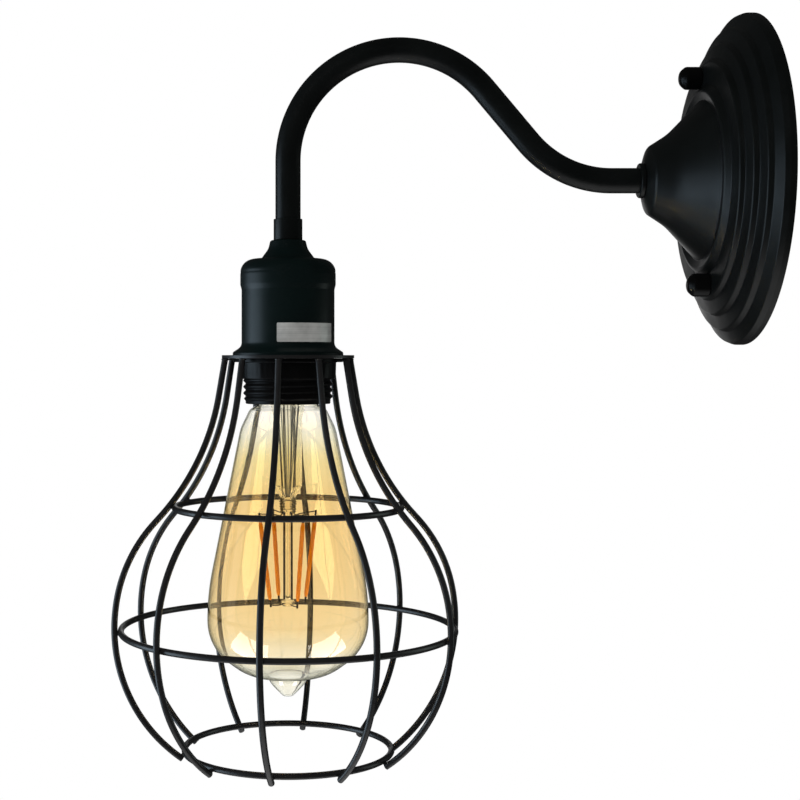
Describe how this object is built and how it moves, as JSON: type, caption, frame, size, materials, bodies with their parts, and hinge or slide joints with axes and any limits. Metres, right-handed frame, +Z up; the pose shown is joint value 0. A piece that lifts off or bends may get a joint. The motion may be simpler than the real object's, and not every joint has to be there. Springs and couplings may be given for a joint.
{
  "type": "cage wall light",
  "caption": "Indoor wall light: spun round canopy, swan-neck tube arm and lampholder cup over a wire cage round a pear-shaped filament bulb.",
  "frame": {"origin": "centre of the canopy's back rim, on the wall plane and midway between the wall screw holes", "axes": "+Y into the wall, -Y out into the room towards the lamp, +Z up, +X to the right of someone facing the wall"},
  "size_m": [0.1378, 0.2487, 0.293],
  "materials": {
    "black_coat": "satin",
    "black_gloss": "glossy",
    "cup_coat": "matt",
    "zinc": "satin",
    "brass": "satin",
    "foil": "brushed",
    "white_plastic": "satin",
    "black_plastic": "satin",
    "white_ceramic": "matt",
    "brown_sleeve": "satin",
    "blue_sleeve": "satin",
    "green_sleeve": "satin",
    "amber_glass": "polished",
    "clear_glass": "polished",
    "dark_wire": "satin",
    "filament": "matt",
    "cap_metal": "satin",
    "black_glass": "glossy",
    "solder": "satin",
    "board": "matt"
  },
  "bodies": {
    "fixture": {"canopy": "black_coat", "wall_bracket": "zinc", "bracket_studs": "zinc", "stud_nuts": "zinc", "earth_screw": "brass", "terminal_block": "white_plastic", "terminal_screws": "brass", "lead_live": "brown_sleeve", "lead_neutral": "blue_sleeve", "lead_earth": "green_sleeve", "arm_tube": "black_coat", "nose_collar": "black_coat", "nose_lock_nut": "zinc", "arm_collar": "black_coat", "holder_cup": "cup_coat", "rating_label": "foil", "holder_bush": "zinc", "holder_dome": "black_plastic", "holder_skirt": "black_plastic", "contact_carrier": "white_ceramic", "holder_terminals": "brass", "screw_shell": "brass", "centre_contact": "brass"},
    "cap_nut_upper": {"cap_nut_upper": "black_gloss"},
    "cap_nut_lower": {"cap_nut_lower": "black_gloss"},
    "cage": {"cage_plate": "black_coat", "cage_ribs": "black_coat", "cage_shoulder_ring": "black_coat", "cage_middle_ring": "black_coat", "cage_foot_ring": "black_coat"},
    "shade_ring": {"shade_ring": "black_plastic"},
    "bulb_tip": {"bulb_insulator": "black_glass", "bulb_tip": "solder"},
    "bulb": {"bulb_glass": "amber_glass", "bulb_stem": "clear_glass", "bulb_rod": "clear_glass", "bulb_top_spider": "dark_wire", "bulb_foot_spider": "dark_wire", "bulb_filaments": "filament", "bulb_cap": "cap_metal", "bulb_driver": "board"}
  },
  "joints": [
    {"name": "upper_nut_off", "type": "slide", "parent": "fixture", "child": "cap_nut_upper", "axis": [0, -1, 0], "range_m": [0, 0.008]},
    {"name": "lower_nut_off", "type": "slide", "parent": "fixture", "child": "cap_nut_lower", "axis": [0, -1, 0], "range_m": [0, 0.008]},
    {"name": "cage_drop", "type": "slide", "parent": "fixture", "child": "cage", "axis": [0, 0, -1], "range_m": [0, 0.01375]},
    {"name": "ring_turn", "type": "hinge", "parent": "cage", "child": "shade_ring", "pos_m": [0, -0.18, -0.0744], "axis": [0, 0, -1], "range_deg": [0, 1981]},
    {"name": "bulb_travel", "type": "slide", "parent": "fixture", "child": "bulb_tip", "axis": [0, 0, -1], "range_m": [0, 0.018]},
    {"name": "bulb_turn", "type": "hinge", "parent": "bulb_tip", "child": "bulb", "pos_m": [0, -0.18, -0.0768], "axis": [0, 0, -1], "range_deg": [0, 1801]}
  ],
  "couplings": [
    {"joint": "ring_turn", "follows": "cage_drop", "rad_per_m": 2513.3},
    {"joint": "bulb_turn", "follows": "bulb_travel", "rad_per_m": 1745.3}
  ]
}
